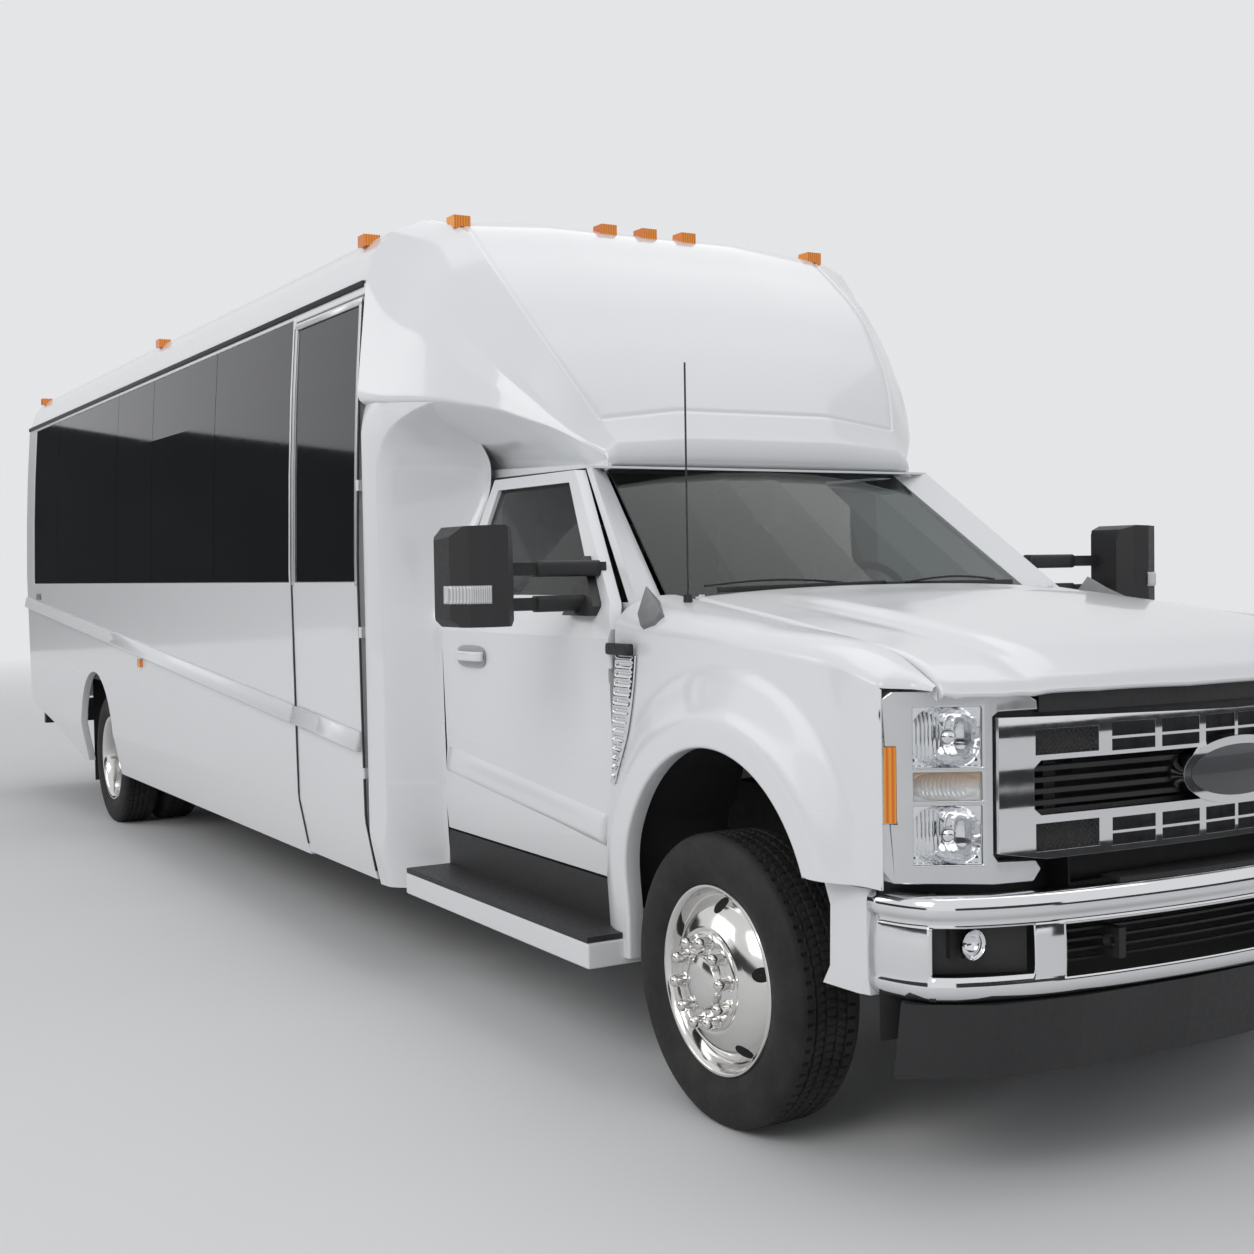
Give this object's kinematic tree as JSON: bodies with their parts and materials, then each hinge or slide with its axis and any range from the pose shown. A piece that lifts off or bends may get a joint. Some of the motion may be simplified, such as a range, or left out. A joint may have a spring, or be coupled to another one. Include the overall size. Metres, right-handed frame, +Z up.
{
  "type": "shuttle minibus",
  "caption": "White shuttle minibus: long passenger body with dark glass and a nosed front cap on a cutaway truck cab, twin rear wheels, opening doors and hood.",
  "frame": {"origin": "on the ground, at the middle of the bus's length and width", "axes": "+X forwards, +Y to the bus's left, +Z up"},
  "size_m": [9.94, 3, 2.938],
  "materials": {
    "white_paint": "gloss white body paint",
    "white_fibreglass": "gloss white moulded fibreglass",
    "privacy_glass": "dark privacy glass",
    "clear_glass": "lightly tinted glass",
    "chrome": "bright chrome plate",
    "black_plastic": "moulded black plastic",
    "tyre": "black tyre rubber",
    "chassis_steel": "black chassis paint",
    "cast_steel": "painted casting",
    "polished_wheel": "polished stainless wheel cover",
    "amber_lens": "amber lamp lens",
    "red_lens": "red lamp lens",
    "lamp_lens": "clear lamp lens",
    "seat_fabric": "dark seat cloth",
    "floor_sheet": "grey floor covering",
    "flap_rubber": "black rubber"
  },
  "bodies": {
    "body": {"chassis_frame": "chassis_steel", "cross_members": "chassis_steel", "floor_sills": "chassis_steel", "tow_hooks": "chassis_steel", "engine_block": "cast_steel", "driveline": "chassis_steel", "front_axle": "chassis_steel", "rear_axle": "chassis_steel", "side_wall_right": "white_paint", "side_wall_left": "white_paint", "side_glass": "privacy_glass", "bus_floor": "floor_sheet", "roof": "white_fibreglass", "rear_wall": "white_fibreglass", "front_cap": "white_fibreglass", "cab_shell": "white_paint", "windscreen": "clear_glass", "front_fenders": "white_paint", "front_bumper": "chrome", "bumper_ends": "white_fibreglass", "bumper_trim": "black_plastic", "marker_lamps": "amber_lens", "air_dam": "black_plastic", "grille": "chrome", "grille_core": "black_plastic", "headlamp_frames": "chrome", "headlamp_lenses": "lamp_lens", "rocker_panels": "white_paint", "running_boards": "black_plastic", "dashboard": "black_plastic", "cab_seats": "seat_fabric", "passenger_seats": "seat_fabric", "roof_lamps": "amber_lens", "rear_lamps": "red_lens", "rear_bumper": "black_plastic", "mud_flaps": "flap_rubber", "antenna": "black_plastic"},
    "knuckle_right": {"knuckle_right": "cast_steel"},
    "knuckle_left": {"knuckle_left": "cast_steel"},
    "front_wheel_right": {"front_wheel_right": "polished_wheel", "front_tyre_right": "tyre"},
    "front_wheel_left": {"front_wheel_left": "polished_wheel", "front_tyre_left": "tyre"},
    "rear_wheels_right": {"rear_wheels_right": "polished_wheel", "rear_tyres_right": "tyre"},
    "rear_wheels_left": {"rear_wheels_left": "polished_wheel", "rear_tyres_left": "tyre"},
    "cab_door_right": {"cab_door_right": "white_paint", "cab_door_glass_right": "clear_glass", "mirror_right": "black_plastic"},
    "cab_door_left": {"cab_door_left": "white_paint", "cab_door_glass_left": "clear_glass", "mirror_left": "black_plastic"},
    "hood": {"hood": "white_paint"},
    "entry_door": {"entry_door": "white_paint", "entry_door_glass": "privacy_glass"},
    "rear_door": {"rear_door": "white_fibreglass", "rear_door_glass": "privacy_glass"}
  },
  "joints": [
    {"name": "steer_right", "type": "hinge", "parent": "body", "child": "knuckle_right", "pos_m": [4.01, -0.79, 0.405], "axis": [0, 0, 1], "range_deg": [-35, 35]},
    {"name": "front_spin_right", "type": "hinge", "parent": "knuckle_right", "child": "front_wheel_right", "pos_m": [4.01, -0.944, 0.405], "axis": [0, 1, 0], "continuous": true},
    {"name": "rear_spin_right", "type": "hinge", "parent": "body", "child": "rear_wheels_right", "pos_m": [-2.77, -1.037, 0.405], "axis": [0, 1, 0], "continuous": true},
    {"name": "cab_door_right_hinge", "type": "hinge", "parent": "body", "child": "cab_door_right", "pos_m": [3.41, -1.012, 1], "axis": [0, 0, 1], "range_deg": [0, 65]},
    {"name": "steer_left", "type": "hinge", "parent": "body", "child": "knuckle_left", "pos_m": [4.01, 0.79, 0.405], "axis": [0, 0, 1], "range_deg": [-35, 35]},
    {"name": "front_spin_left", "type": "hinge", "parent": "knuckle_left", "child": "front_wheel_left", "pos_m": [4.01, 0.944, 0.405], "axis": [0, 1, 0], "continuous": true},
    {"name": "rear_spin_left", "type": "hinge", "parent": "body", "child": "rear_wheels_left", "pos_m": [-2.77, 1.037, 0.405], "axis": [0, 1, 0], "continuous": true},
    {"name": "cab_door_left_hinge", "type": "hinge", "parent": "body", "child": "cab_door_left", "pos_m": [3.41, 1.012, 1], "axis": [0, 0, -1], "range_deg": [0, 65]},
    {"name": "hood_hinge", "type": "hinge", "parent": "body", "child": "hood", "pos_m": [3.512, 0, 1.452], "axis": [0, -1, 0], "range_deg": [0, 50]},
    {"name": "entry_door_hinge", "type": "hinge", "parent": "body", "child": "entry_door", "pos_m": [1.884, -1.236, 1.3], "axis": [0, 0, 1], "range_deg": [0, 85]},
    {"name": "rear_door_hinge", "type": "hinge", "parent": "body", "child": "rear_door", "pos_m": [-4.908, -0.426, 1.7], "axis": [0, 0, 1], "range_deg": [0, 100]}
  ],
  "couplings": [
    {"joint": "steer_left", "follows": "steer_right", "ratio": 1}
  ]
}
